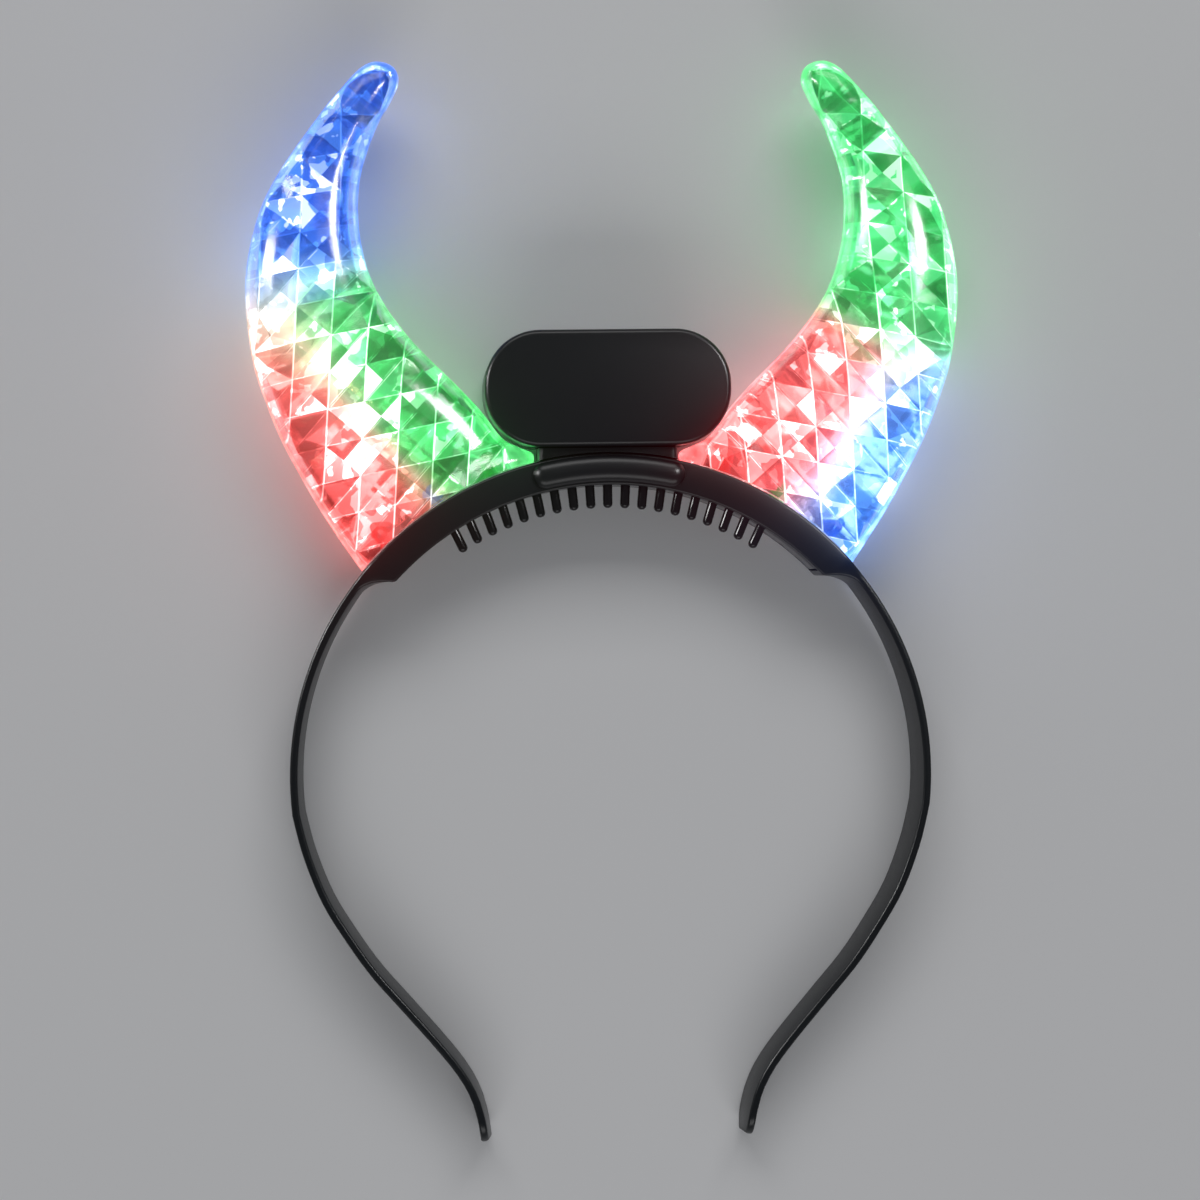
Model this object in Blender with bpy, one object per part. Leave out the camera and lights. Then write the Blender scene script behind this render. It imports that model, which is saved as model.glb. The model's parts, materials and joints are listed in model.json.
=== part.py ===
# Devil horns headband: a stiff band with comb teeth, a battery case on its crown
# and two hollow clear horns with lamps inside their feet.
# It is drawn upright in the XY plane, round the centre of the band's circle: +X to the right, +Y up
# to the horns' tips and +Z to the front. An empty then lays it on its back.
import math

import bmesh
import bpy
from mathutils import Matrix, Vector
from mathutils.bvhtree import BVHTree
from mathutils.geometry import delaunay_2d_cdt

MM = 0.001
GAP = 0.3 * MM  # left between pieces that touch

# Band. Angles along it are in degrees from its top.
BAND_RADIUS = 67.2 * MM  # outer face
CROWN_THICKNESS = 6.5 * MM
CROWN_HALF_DEPTH = 7.0 * MM
CROWN_END_ANGLE = 47.5
STEP_END_ANGLE = 53.0  # where the crown's end has thinned down to the arm
CROWN_CHAMFER = 0.6 * MM
CHANNEL_WALL = 1.6 * MM
CHANNEL_END_ANGLE = 46.0
ARM_THICKNESS = 1.6 * MM
ARM_DRAFT = 0.9 * MM  # the arm is this much thicker at its back edge
ARM_HALF_DEPTH = 6.0 * MM
FOOT_HALF_DEPTH = 5.2 * MM
FOOT_ROUNDING = 5.0 * MM
ARM_CHAMFER = 0.4 * MM
ARC_END_ANGLE = 96.5  # below this the arm leaves the circle
ARM_OUTER_EDGE_MM = (  # x, y of the right arm's outer face, down to the foot
    (64.6, -16.0),
    (60.9, -25.5),
    (55.9, -33.9),
    (50.8, -41.2),
    (45.4, -47.5),
    (38.2, -55.9),
    (33.6, -61.8),
    (30.9, -66.6),
    (29.4, -71.5),
    (28.6, -76.6),
)

# Rounded bar on the crown's front
BAR_RADIUS = 64.1 * MM  # its middle line
BAR_HALF_LENGTH = 16.8 * MM
BAR_HALF_WIDTH = 2.75 * MM
BAR_HEIGHT = 1.9 * MM

# Comb strip
STRIP_THICKNESS = 1.8 * MM
STRIP_END_ANGLE = 45.7
TOOTH_COUNT = 19
TOOTH_PITCH_ANGLE = 3.55
TOOTH_LEAN = 0.8  # share of its own angle that a tooth leans by
TOOTH_RADIUS = 1.0 * MM
TOOTH_TIP_RADIUS = 55.9 * MM  # from the band's centre
TOOTH_FORWARD = 2.0 * MM

# Battery case
POD_WIDTH = 51.4 * MM
POD_HEIGHT = 24.2 * MM
POD_CORNER = 11.6 * MM
POD_CENTRE_Y = 80.8 * MM
POD_FRONT = 9.5 * MM
POD_BACK = 8.6 * MM
POD_WALL = 1.8 * MM
POD_FILLET = 1.1 * MM
NECK_HALF_WIDTH = 14.6 * MM
NECK_HALF_DEPTH = 6.2 * MM
NECK_OVERLAP = 1.2 * MM  # how far it reaches into the rear case's wall

# Horns, as the right one
HORN_FOOT_RADIUS = BAND_RADIUS + GAP
HORN_FOOT_OUTER_ANGLE = 50.0
HORN_FOOT_INNER_ANGLE = 13.1
HORN_OUTER_EDGE_MM = (  # x, y from the foot up
    (56.4, 50.3),
    (61.0, 57.7),
    (67.6, 70.1),
    (71.4, 79.7),
    (73.8, 88.1),
    (75.1, 102.4),
    (72.8, 115.6),
    (68.3, 125.7),
    (59.4, 138.3),
    (54.4, 144.3),
    (50.2, 148.6),
)
HORN_TIP_MM = (46.8, 149.9)
HORN_INNER_EDGE_MM = (  # x, y from the tip down
    (43.4, 148.6),
    (42.5, 145.6),
    (44.4, 141.2),
    (47.5, 135.6),
    (50.9, 124.9),
    (51.0, 113.5),
    (48.0, 102.7),
    (41.0, 92.1),
    (30.4, 81.2),
    (25.9, 76.2),
    (21.9, 70.9),
    (18.3, 68.9),
    (15.5, 67.6),
)
HORN_FOOT_HALF_DEPTH = 6.8 * MM
HORN_HALF_DEPTH = 10.4 * MM
HORN_DEPTH_RISE = 0.35  # share of the length in which the foot's depth grows to the full one
HORN_ROUNDNESS = 2.3  # 2 is an ellipse in section, more is fuller
HORN_WALL = 2.0 * MM
CAVITY_FOOT_OUTER_ANGLE = 48.0
CAVITY_FOOT_INNER_ANGLE = 17.5
HORN_ROWS = 24
HORN_COLUMNS = 12
PYRAMID_PITCH = 7.6 * MM
PYRAMID_HEIGHT = 1.5 * MM
PYRAMID_COLUMN_LEAN = 3.5  # degrees that the columns lean towards the middle of the part
PYRAMID_ROW_SLOPE = 11.0  # degrees that the rows drop towards the horn's outer side
PYRAMID_START_MM = (50.6, 78.5)  # one corner of the lattice
PYRAMID_REACH = 14  # rows and columns tried each way from that corner
PYRAMID_EDGE = 0.9 * MM  # no pyramid corner is nearer than this to the wall's edge

# Lamps
LAMP_ANGLES = {"outer": 43.0, "middle": 32.0, "inner": 21.0}
LAMP_COLOURS = {
    "left": {"outer": "red", "middle": "blue", "inner": "green"},
    "right": {"outer": "blue", "middle": "green", "inner": "red"},
}
LAMP_RADIUS = 1.5 * MM
LAMP_FLANGE_RADIUS = 1.9 * MM
LAMP_FLANGE_HEIGHT = 0.8 * MM
LAMP_BODY_HEIGHT = 3.4 * MM

BLACK = (0.012, 0.014, 0.017)
CLEAR = (0.92, 0.95, 0.97)
LIGHT_COLOURS = {"red": (1.0, 0.08, 0.05), "green": (0.05, 1.0, 0.15), "blue": (0.06, 0.15, 1.0)}
SIDES = {"left": -1, "right": 1}


def clear_scene():
    for old in list(bpy.data.objects):
        bpy.data.objects.remove(old, do_unlink=True)


def make_material(name, colour, roughness, transmission=0.0, glow=0.0):
    material = bpy.data.materials.new(name)
    material.use_nodes = True
    shader = material.node_tree.nodes["Principled BSDF"]
    shader.inputs["Base Color"].default_value = (*colour, 1.0)
    shader.inputs["Metallic"].default_value = 0.0
    shader.inputs["Roughness"].default_value = roughness
    shader.inputs["Transmission Weight"].default_value = transmission
    shader.inputs["Emission Color"].default_value = (*colour, 1.0)
    shader.inputs["Emission Strength"].default_value = glow
    material.diffuse_color = (*colour, 1.0)
    return material


def add_object(name, mesh_data, parent, material=None, sharp_angle=30.0, flat_faces=()):
    bmesh.ops.recalc_face_normals(mesh_data, faces=mesh_data.faces)
    for face in mesh_data.faces:
        face.smooth = face not in flat_faces
    mesh = bpy.data.meshes.new(name)
    mesh_data.to_mesh(mesh)
    mesh_data.free()
    mesh.set_sharp_from_angle(angle=math.radians(sharp_angle))
    piece = bpy.data.objects.new(name, mesh)
    bpy.context.scene.collection.objects.link(piece)
    piece.parent = parent
    if material:
        mesh.materials.append(material)
    return piece


def add_loft(mesh_data, loops):
    # Bridges closed loops of equal length in order and caps the first and the last.
    rings = [[mesh_data.verts.new(point) for point in loop] for loop in loops]
    for ring, following in zip(rings, rings[1:]):
        for i, corner in enumerate(ring):
            before = i - 1
            mesh_data.faces.new((ring[before], corner, following[i], following[before]))
    mesh_data.faces.new(rings[0])
    mesh_data.faces.new(rings[-1])


def loft(name, loops, parent, material=None, sharp_angle=30.0):
    mesh_data = bmesh.new()
    add_loft(mesh_data, loops)
    return add_object(name, mesh_data, parent, material, sharp_angle)


def combine(piece, tool, operation):
    tool.hide_render = True
    tool.display_type = "WIRE"
    modifier = piece.modifiers.new(operation.lower(), "BOOLEAN")
    modifier.operation = operation
    modifier.solver = "EXACT"
    modifier.object = tool


def on_arc(radius, angle):
    turn = math.radians(angle)
    return Vector((radius * math.sin(turn), radius * math.cos(turn)))


def even_steps(first, last, count):
    return [first + (last - first) * i / count for i in range(count + 1)]


def smooth_curve(points, steps):
    # A Catmull-Rom curve through the points.
    before_first = 2 * points[0] - points[1]
    after_last = 2 * points[-1] - points[-2]
    guides = [before_first, *points, after_last]
    curve = []
    for a, b, c, d in zip(guides, guides[1:], guides[2:], guides[3:]):
        for step in range(steps):
            t = step / steps
            bend = (2 * a - 5 * b + 4 * c - d) * t**2 + (3 * b - a - 3 * c + d) * t**3
            curve.append(0.5 * (2 * b + (c - a) * t + bend))
    return [*curve, points[-1]]


def at_fractions(curve, fractions):
    # The points at these shares of the curve's length.
    lengths = [0.0]
    for a, b in zip(curve, curve[1:]):
        lengths.append(lengths[-1] + (b - a).length)
    found = []
    place = 0
    for fraction in fractions:
        target = fraction * lengths[-1]
        while place < len(curve) - 2 and lengths[place + 1] < target:
            place += 1
        span = lengths[place + 1] - lengths[place]
        share = min(1.0, (target - lengths[place]) / span)
        found.append(curve[place].lerp(curve[place + 1], share))
    return found


def tangents(curve):
    ends = [curve[0], *curve, curve[-1]]
    return [(after - before).normalized() for before, after in zip(ends, ends[2:])]


def smoothstep(t):
    t = min(1.0, max(0.0, t))
    return t * t * (3 - 2 * t)


def band_section(point, inward, front, back, half_depth, chamfer):
    # One section of the band: front and back are its thicknesses at those edges.
    corners = (
        (0, half_depth - chamfer),
        (chamfer, half_depth),
        (front - chamfer, half_depth),
        (front, half_depth - chamfer),
        (back, chamfer - half_depth),
        (back - chamfer, -half_depth),
        (chamfer, -half_depth),
        (0, chamfer - half_depth),
    )
    return [Vector((*(point + inward * depth), z)) for depth, z in corners]


def right_band_sections():
    sections = []
    crown_angles = even_steps(0, CROWN_END_ANGLE, 17)
    step_angles = even_steps(CROWN_END_ANGLE, STEP_END_ANGLE, 8)[1:]
    arc_angles = even_steps(STEP_END_ANGLE, ARC_END_ANGLE, 13)[1:]
    for angle in crown_angles + step_angles + arc_angles:
        left = (STEP_END_ANGLE - angle) / (STEP_END_ANGLE - CROWN_END_ANGLE)
        crown_share = min(1.0, max(0.0, left)) ** 1.6
        blend = smoothstep(left)
        thickness = ARM_THICKNESS + (CROWN_THICKNESS - ARM_THICKNESS) * crown_share
        half_depth = ARM_HALF_DEPTH + (CROWN_HALF_DEPTH - ARM_HALF_DEPTH) * blend
        chamfer = ARM_CHAMFER + (CROWN_CHAMFER - ARM_CHAMFER) * blend
        outer = on_arc(BAND_RADIUS, angle)
        back = thickness + ARM_DRAFT * (1 - blend)
        sections.append(band_section(outer, -outer.normalized(), thickness, back, half_depth, chamfer))

    arc_end = on_arc(BAND_RADIUS, ARC_END_ANGLE)
    edge = smooth_curve([arc_end] + [Vector(p) * MM for p in ARM_OUTER_EDGE_MM], 3)
    length_left = [0.0]
    for a, b in zip(edge[:0:-1], edge[-2::-1]):
        length_left.insert(0, length_left[0] + (b - a).length)
    for point, along, to_end in list(zip(edge, tangents(edge), length_left))[1:]:
        share = to_end / length_left[0]
        half_depth = FOOT_HALF_DEPTH + (ARM_HALF_DEPTH - FOOT_HALF_DEPTH) * share
        missing = max(0.0, 1 - (to_end + 0.4 * MM) / FOOT_ROUNDING)
        half_depth *= math.sqrt(1 - missing**2)
        inward = Vector((along.y, -along.x))
        back = ARM_THICKNESS + ARM_DRAFT
        sections.append(band_section(point, inward, ARM_THICKNESS, back, half_depth, ARM_CHAMFER))
    return sections


def mirrored(loop):
    return [Vector((-p.x, p.y, p.z)) for p in loop]


def arc_block(name, inner_radius, outer_radius, half_depth, end_angle, parent, material=None):
    # A curved bar of rectangular section under the band's arc.
    loops = []
    for angle in even_steps(-end_angle, end_angle, 34):
        inner = on_arc(inner_radius, angle)
        outer = on_arc(outer_radius, angle)
        corners = ((inner, -half_depth), (outer, -half_depth), (outer, half_depth), (inner, half_depth))
        loops.append([Vector((*point, z)) for point, z in corners])
    return loft(name, loops, parent, material)


def stadium(half_length, half_width, sides=12):
    middle = half_length - half_width
    points = []
    for end, first in ((1, -90), (-1, 90)):
        for turn in even_steps(first, first + 180, sides):
            angle = math.radians(turn)
            points.append((end * middle + half_width * math.cos(angle), half_width * math.sin(angle)))
    return points


def make_front_bar(parent):
    # The bar bends with the crown; its foot is sunk into the crown's front wall.
    inner_radius = BAND_RADIUS - CROWN_THICKNESS
    middle_radius = BAR_RADIUS
    rings = ((0.0, -0.5), (0.0, 0.35), (0.12, 0.65), (0.35, 0.87), (0.68, 1.0))
    loops = []
    for inset, height in rings:
        shrink = inset * BAR_HALF_WIDTH
        loop = []
        for along, across in stadium(BAR_HALF_LENGTH - shrink, BAR_HALF_WIDTH - shrink):
            point = on_arc(max(inner_radius, middle_radius + across), math.degrees(along / middle_radius))
            loop.append(Vector((*point, CROWN_HALF_DEPTH + height * BAR_HEIGHT)))
        loops.append(loop)
    return loft("crown_front_bar", loops, parent)


def make_band(parent):
    right = right_band_sections()
    left = [mirrored(loop) for loop in reversed(right[1:])]
    material = make_material("band_black_plastic", BLACK, 0.42)
    band = loft("band", left + right, parent, material, 35.0)
    channel_top = BAND_RADIUS - CHANNEL_WALL
    channel_mouth = BAND_RADIUS - CROWN_THICKNESS - 2 * MM
    channel_half_depth = CROWN_HALF_DEPTH - CHANNEL_WALL
    channel = arc_block(
        "crown_channel", channel_mouth, channel_top, channel_half_depth, CHANNEL_END_ANGLE, parent
    )
    combine(band, channel, "DIFFERENCE")
    combine(band, make_front_bar(parent), "UNION")
    return band


def turned_loops(foot, axis, profile, sides):
    # Rings round an axis in the XY plane, for a profile of radius and height.
    across = Vector((0, 0, 1))
    beside = axis.cross(across)
    loops = []
    for radius, height in profile:
        ring = []
        for i in range(sides):
            turn = math.tau * i / sides
            ring.append(foot + axis * height + (across * math.sin(turn) + beside * math.cos(turn)) * radius)
        loops.append(ring)
    return loops


def dome(radius, height):
    # Profile of a rounded end that starts at this height, closed by a small flat.
    return [
        (radius * math.cos(math.radians(turn)), height + radius * math.sin(math.radians(turn)))
        for turn in (30, 60, 80)
    ]


def make_comb_strip(parent):
    face_radius = BAND_RADIUS - CROWN_THICKNESS
    back_radius = face_radius + STRIP_THICKNESS
    half_depth = CROWN_HALF_DEPTH - CHANNEL_WALL - GAP
    material = make_material("comb_black_plastic", BLACK, 0.3)
    strip = arc_block(
        "comb_strip", face_radius, back_radius, half_depth, STRIP_END_ANGLE, parent, material
    )
    teeth = bmesh.new()
    root_radius = face_radius + 0.5 * STRIP_THICKNESS
    shaft = root_radius - TOOTH_TIP_RADIUS - TOOTH_RADIUS
    profile = [(TOOTH_RADIUS, 0.0), (TOOTH_RADIUS, shaft), *dome(TOOTH_RADIUS, shaft)]
    for i in range(TOOTH_COUNT):
        angle = (i - (TOOTH_COUNT - 1) / 2) * TOOTH_PITCH_ANGLE
        foot = Vector((*on_arc(root_radius, angle), TOOTH_FORWARD))
        axis = Vector((*on_arc(-1, angle * TOOTH_LEAN), 0))
        add_loft(teeth, turned_loops(foot, axis, profile, 10))
    combine(strip, add_object("comb_teeth", teeth, parent), "UNION")
    return strip


def rounded_rectangle(width, height, corner, sides=10):
    points = []
    for quarter, (side_x, side_y) in enumerate(((1, 1), (-1, 1), (-1, -1), (1, -1))):
        centre = Vector((side_x * (width / 2 - corner), side_y * (height / 2 - corner)))
        for turn in even_steps(90 * quarter, 90 * quarter + 90, sides):
            angle = math.radians(turn)
            points.append(centre + corner * Vector((math.cos(angle), math.sin(angle))))
    return points


def pod_loop(inset, z):
    outline = rounded_rectangle(POD_WIDTH - 2 * inset, POD_HEIGHT - 2 * inset, POD_CORNER - inset)
    return [Vector((p.x, POD_CENTRE_Y + p.y, z)) for p in outline]


def pod_half(name, face, way, parent, material):
    # A cup with its mouth at the case's seam; way is 1 for the front half and -1 for the rear half.
    seam = GAP / 2
    profile = [(POD_WALL, face - POD_WALL), (POD_WALL, seam), (0.0, seam), (0.0, face - POD_FILLET)]
    for turn in (30, 60, 90):
        angle = math.radians(turn)
        inset = POD_FILLET * (1 - math.cos(angle))
        profile.append((inset, face - POD_FILLET * (1 - math.sin(angle))))
    return loft(name, [pod_loop(inset, way * z) for inset, z in profile], parent, material)


def neck_block(name, top_y, front, back, parent):
    # The neck stands on the crown's arc.
    foot_radius = BAND_RADIUS + GAP
    end_angle = math.degrees(math.asin(NECK_HALF_WIDTH / foot_radius))
    foot = [on_arc(foot_radius, angle) for angle in even_steps(-end_angle, end_angle, 10)]
    outline = [*foot, Vector((NECK_HALF_WIDTH, top_y)), Vector((-NECK_HALF_WIDTH, top_y))]
    return loft(name, [[Vector((*p, z)) for p in outline] for z in (back, front)], parent)


def make_pod(parent):
    cover_material = make_material("pod_cover_black_plastic", BLACK, 0.34)
    case_material = make_material("pod_case_black_plastic", BLACK, 0.4)
    cover = pod_half("pod_front_cover", POD_FRONT, 1, parent, cover_material)
    case = pod_half("pod_rear_case", POD_BACK, -1, parent, case_material)
    underside = POD_CENTRE_Y - POD_HEIGHT / 2
    root = neck_block("neck_root", underside + NECK_OVERLAP, -2 * GAP, -NECK_HALF_DEPTH, parent)
    neck = neck_block("neck", underside - GAP, NECK_HALF_DEPTH, -NECK_HALF_DEPTH, parent)
    combine(root, neck, "UNION")
    combine(case, root, "UNION")
    return [cover, case]


def horn_outline(inset):
    # The right horn's outline from the outer end of its foot over the tip to the inner end.
    # With an inset it is the cavity's outline, whose ends stand on the foot's arc as well.
    foot_outer = on_arc(HORN_FOOT_RADIUS, HORN_FOOT_OUTER_ANGLE)
    foot_inner = on_arc(HORN_FOOT_RADIUS, HORN_FOOT_INNER_ANGLE)
    drawn = [Vector(p) * MM for p in (*HORN_OUTER_EDGE_MM, HORN_TIP_MM, *HORN_INNER_EDGE_MM)]
    outline = smooth_curve([foot_outer, *drawn, foot_inner], 6)
    if inset == 0:
        return outline
    foot_outer = on_arc(HORN_FOOT_RADIUS, CAVITY_FOOT_OUTER_ANGLE)
    foot_inner = on_arc(HORN_FOOT_RADIUS, CAVITY_FOOT_INNER_ANGLE)
    kept = []
    for point, along in zip(outline, tangents(outline)):
        moved = point + inset * Vector((-along.y, along.x))
        angle = math.degrees(math.atan2(moved.x, moved.y))
        above_foot = moved.length > 1.01 * HORN_FOOT_RADIUS
        between_ends = CAVITY_FOOT_INNER_ANGLE < angle < CAVITY_FOOT_OUTER_ANGLE
        high_up = moved.length > 1.4 * HORN_FOOT_RADIUS
        if high_up or (above_foot and between_ends):
            kept.append(moved)
    return [foot_outer, *kept, foot_inner]


def horn_depth(half_width, share):
    # Half the horn's depth: nearly its half width at the tip, and no more than the full depth lower down.
    rise = smoothstep(share / HORN_DEPTH_RISE)
    most = HORN_FOOT_HALF_DEPTH + (HORN_HALF_DEPTH - HORN_FOOT_HALF_DEPTH) * rise
    return half_width * most / (half_width**4 + most**4) ** 0.25


def horn_surface(inset):
    # Rows of points over the front half of the right horn, from the foot's arc to the tip.
    outline = horn_outline(inset)
    tip = max(range(len(outline)), key=lambda i: outline[i].y)
    shares = [0.4 * t + 0.3 * (1 - math.cos(math.pi * t)) for t in even_steps(0, 1, HORN_ROWS)]
    outer_side = at_fractions(outline[: tip + 1], shares)
    inner_side = at_fractions(outline[: tip - 1 : -1], shares)
    foot_angles = [math.degrees(math.atan2(p.x, p.y)) for p in (outline[0], outline[-1])]
    rows = []
    for share, outer, inner in zip(shares, outer_side, inner_side):
        depth = horn_depth((outer - inner).length / 2 + inset, share) - inset
        arc_share = max(0.0, 1 - share / HORN_DEPTH_RISE) ** 2
        row = []
        for column in range(HORN_COLUMNS + 1):
            across = math.cos(math.pi * column / HORN_COLUMNS)
            u = (1 - across) / 2
            chord = outline[0].lerp(outline[-1], u)
            arc = on_arc(HORN_FOOT_RADIUS, foot_angles[0] + (foot_angles[1] - foot_angles[0]) * u)
            point = outer.lerp(inner, u) + (arc - chord) * arc_share
            bulge = max(0.0, 1 - abs(across) ** HORN_ROUNDNESS) ** (1 / HORN_ROUNDNESS)
            row.append(Vector((*point, GAP / 2 + depth * bulge)))
        rows.append(row)
    return rows


def rim(rows):
    # The edge of such a surface: along the foot, up the inner side to the tip, down the outer side.
    foot = rows[0]
    inner_side = [row[-1] for row in rows[1:-1]]
    outer_side = [row[0] for row in rows[-2:0:-1]]
    return [*foot, *inner_side, rows[-1][0], *outer_side]


def pyramid_wall(rows):
    # The cavity's wall: a square lattice of pyramids between straight valleys.
    # It returns points, triangles and, for each point of the rim, its number.
    edge = rim(rows)
    columns = HORN_COLUMNS + 1
    flat = [point for row in rows for point in row]
    faces = []
    for i in range(HORN_ROWS):
        for j in range(HORN_COLUMNS):
            first = i * columns + j
            faces.append((first, first + 1, first + 1 + columns, first + columns))
    smooth_wall = BVHTree.FromPolygons(flat, faces)

    def wall_height(x, y):
        hit = smooth_wall.ray_cast(Vector((x, y, 50 * MM)), Vector((0, 0, -1)))
        return None if hit[0] is None else hit[0].z

    along_row = on_arc(PYRAMID_PITCH, 90 + PYRAMID_ROW_SLOPE)
    up_column = on_arc(PYRAMID_PITCH, -PYRAMID_COLUMN_LEAN)
    start = Vector(PYRAMID_START_MM) * MM
    corner_numbers = {}
    points = list(edge)
    for i in range(-PYRAMID_REACH, PYRAMID_REACH):
        for j in range(-PYRAMID_REACH, PYRAMID_REACH):
            for half in (0.0, 0.5):
                place = start + (i + half) * along_row + (j + half) * up_column
                height = wall_height(*place)
                clear = all((place - p.xy).length > PYRAMID_EDGE for p in edge)
                if height is None or not clear:
                    continue
                if half:
                    height -= min(PYRAMID_HEIGHT, 0.5 * height)
                else:
                    corner_numbers[i, j] = len(points)
                points.append(Vector((*place, height)))
    valleys = []
    for (i, j), number in corner_numbers.items():
        for neighbour in ((i + 1, j), (i, j + 1)):
            if neighbour in corner_numbers:
                valleys.append((number, corner_numbers[neighbour]))
    outline = list(range(len(edge)))[::-1]
    found = delaunay_2d_cdt([p.xy for p in points], valleys, [outline], 1, 0.001 * MM)
    places, _, triangles, sources = found[:4]
    heights = []
    for place, source in zip(places, sources):
        heights.append(points[source[0]].z if source else wall_height(*place))
    wall_points = [Vector((*place, height)) for place, height in zip(places, heights)]
    rim_numbers = {}
    for number, source in enumerate(sources):
        for original in source:
            rim_numbers[original] = number
    return wall_points, triangles, [rim_numbers[i] for i in range(len(edge))]


def horn_shell(name, side, way, parent, material):
    # Half a horn; way is 1 for its front half and -1 for its back half.
    def placed(point):
        return (side * point.x, point.y, way * point.z)

    mesh_data = bmesh.new()
    outside = horn_surface(0)
    grid = [[mesh_data.verts.new(placed(p)) for p in row] for row in outside[:-1]]
    tip = mesh_data.verts.new(placed(outside[-1][0]))
    for row, above in zip(grid, grid[1:]):
        for j in range(HORN_COLUMNS):
            mesh_data.faces.new((row[j], row[j + 1], above[j + 1], above[j]))
    for a, b in zip(grid[-1], grid[-1][1:]):
        mesh_data.faces.new((a, b, tip))
    wall_points, triangles, rim_numbers = pyramid_wall(horn_surface(HORN_WALL))
    wall = [mesh_data.verts.new(placed(p)) for p in wall_points]
    facets = {mesh_data.faces.new([wall[number] for number in triangle]) for triangle in triangles}
    outer_rim = rim([*grid, [tip]])
    inner_rim = [wall[number] for number in rim_numbers]
    for i in range(len(outer_rim)):
        mesh_data.faces.new((outer_rim[i - 1], outer_rim[i], inner_rim[i], inner_rim[i - 1]))
    return add_object(name, mesh_data, parent, material, 25.0, facets)


def make_horns(parent):
    shells = []
    for side_name, side in SIDES.items():
        for half_name, way in (("front", 1), ("back", -1)):
            name = f"{side_name}_horn_{half_name}_shell"
            material = make_material(f"{name}_clear_plastic", CLEAR, 0.04, transmission=0.9)
            shells.append(horn_shell(name, side, way, parent, material))
    return shells


def make_lamps(parent):
    shape = [
        (LAMP_FLANGE_RADIUS, 0.0),
        (LAMP_FLANGE_RADIUS, LAMP_FLANGE_HEIGHT),
        (LAMP_RADIUS, LAMP_FLANGE_HEIGHT),
        (LAMP_RADIUS, LAMP_BODY_HEIGHT),
        *dome(LAMP_RADIUS, LAMP_BODY_HEIGHT),
    ]
    for side_name, side in SIDES.items():
        for place, angle in LAMP_ANGLES.items():
            colour = LIGHT_COLOURS[LAMP_COLOURS[side_name][place]]
            name = f"{side_name}_lamp_{place}"
            material = make_material(f"{name}_lens", colour, 0.15, transmission=0.4, glow=3.0)
            foot = Vector((*on_arc(BAND_RADIUS + GAP, side * angle), 0))
            loft(name, turned_loops(foot, foot.normalized(), shape, 12), parent, material)


def lay_on_back(rest_frame, band, horns):
    # The part lies on the two horns' backs and on the two feet: the tilt is found that brings both
    # to one height. Then the lowest point goes to z = 0 and the middle of the box to x = y = 0.
    horn_points = [v.co.copy() for horn in horns for v in horn.data.vertices]
    band_points = [v.co.copy() for v in band.data.vertices]

    def lowest(points, tilt):
        return min(p.y * math.sin(tilt) + p.z * math.cos(tilt) for p in points)

    low, high = 0.0, math.radians(6)
    for _ in range(30):
        tilt = (low + high) / 2
        if lowest(horn_points, tilt) < lowest(band_points, tilt):
            low = tilt
        else:
            high = tilt
    turn = Matrix.Rotation(tilt, 3, "X")
    turned = [turn @ p for p in horn_points + band_points]
    middle_y = (min(p.y for p in turned) + max(p.y for p in turned)) / 2
    rest_frame.rotation_euler = (tilt, 0, 0)
    rest_frame.location = (0, -middle_y, -min(p.z for p in turned))


def main():
    clear_scene()
    rest_frame = bpy.data.objects.new("rest_frame", None)
    bpy.context.scene.collection.objects.link(rest_frame)
    band = make_band(rest_frame)
    make_comb_strip(rest_frame)
    make_pod(rest_frame)
    horns = make_horns(rest_frame)
    make_lamps(rest_frame)
    lay_on_back(rest_frame, band, horns)


main()
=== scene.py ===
import json
import math
import random

import bmesh
import bpy
from mathutils import Matrix, Vector


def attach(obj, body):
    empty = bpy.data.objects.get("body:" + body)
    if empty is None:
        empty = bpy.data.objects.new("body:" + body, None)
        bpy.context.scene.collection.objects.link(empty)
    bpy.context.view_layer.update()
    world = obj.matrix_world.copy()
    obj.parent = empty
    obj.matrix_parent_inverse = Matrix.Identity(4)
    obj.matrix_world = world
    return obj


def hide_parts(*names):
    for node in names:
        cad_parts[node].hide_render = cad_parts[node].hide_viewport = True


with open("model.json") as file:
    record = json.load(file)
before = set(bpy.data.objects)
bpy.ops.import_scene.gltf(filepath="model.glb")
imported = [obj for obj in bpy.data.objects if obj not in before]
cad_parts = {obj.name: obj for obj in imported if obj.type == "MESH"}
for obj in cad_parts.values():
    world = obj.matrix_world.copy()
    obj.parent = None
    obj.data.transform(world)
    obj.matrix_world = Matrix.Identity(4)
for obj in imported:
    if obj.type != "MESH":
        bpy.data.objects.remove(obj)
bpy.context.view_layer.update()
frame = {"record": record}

mm = 0.001
gap = 0.3 * mm  # between pieces that touch
sides = {"left": -1, "right": 1}

# How close counts as there, and how close together is merged
near = {
    "section": 0.01 * mm,
    "middle": 0.1 * mm,
    "mirror": 0.02 * mm,
    "sliver": 0.002 * mm,
    "point": 0.001 * mm,
}


# The headband is drawn upright in the XY plane round the middle of the band's circle, front to +Z,
# and every finished piece is then laid on its back by the matrix called rest.
def onArc(radius, angle):
    # Angles are in degrees from the top.
    turn = math.radians(angle)
    return Vector((radius * math.sin(turn), radius * math.cos(turn)))


def evenSteps(first, last, count):
    return [first + (last - first) * i / count for i in range(count + 1)]


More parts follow.
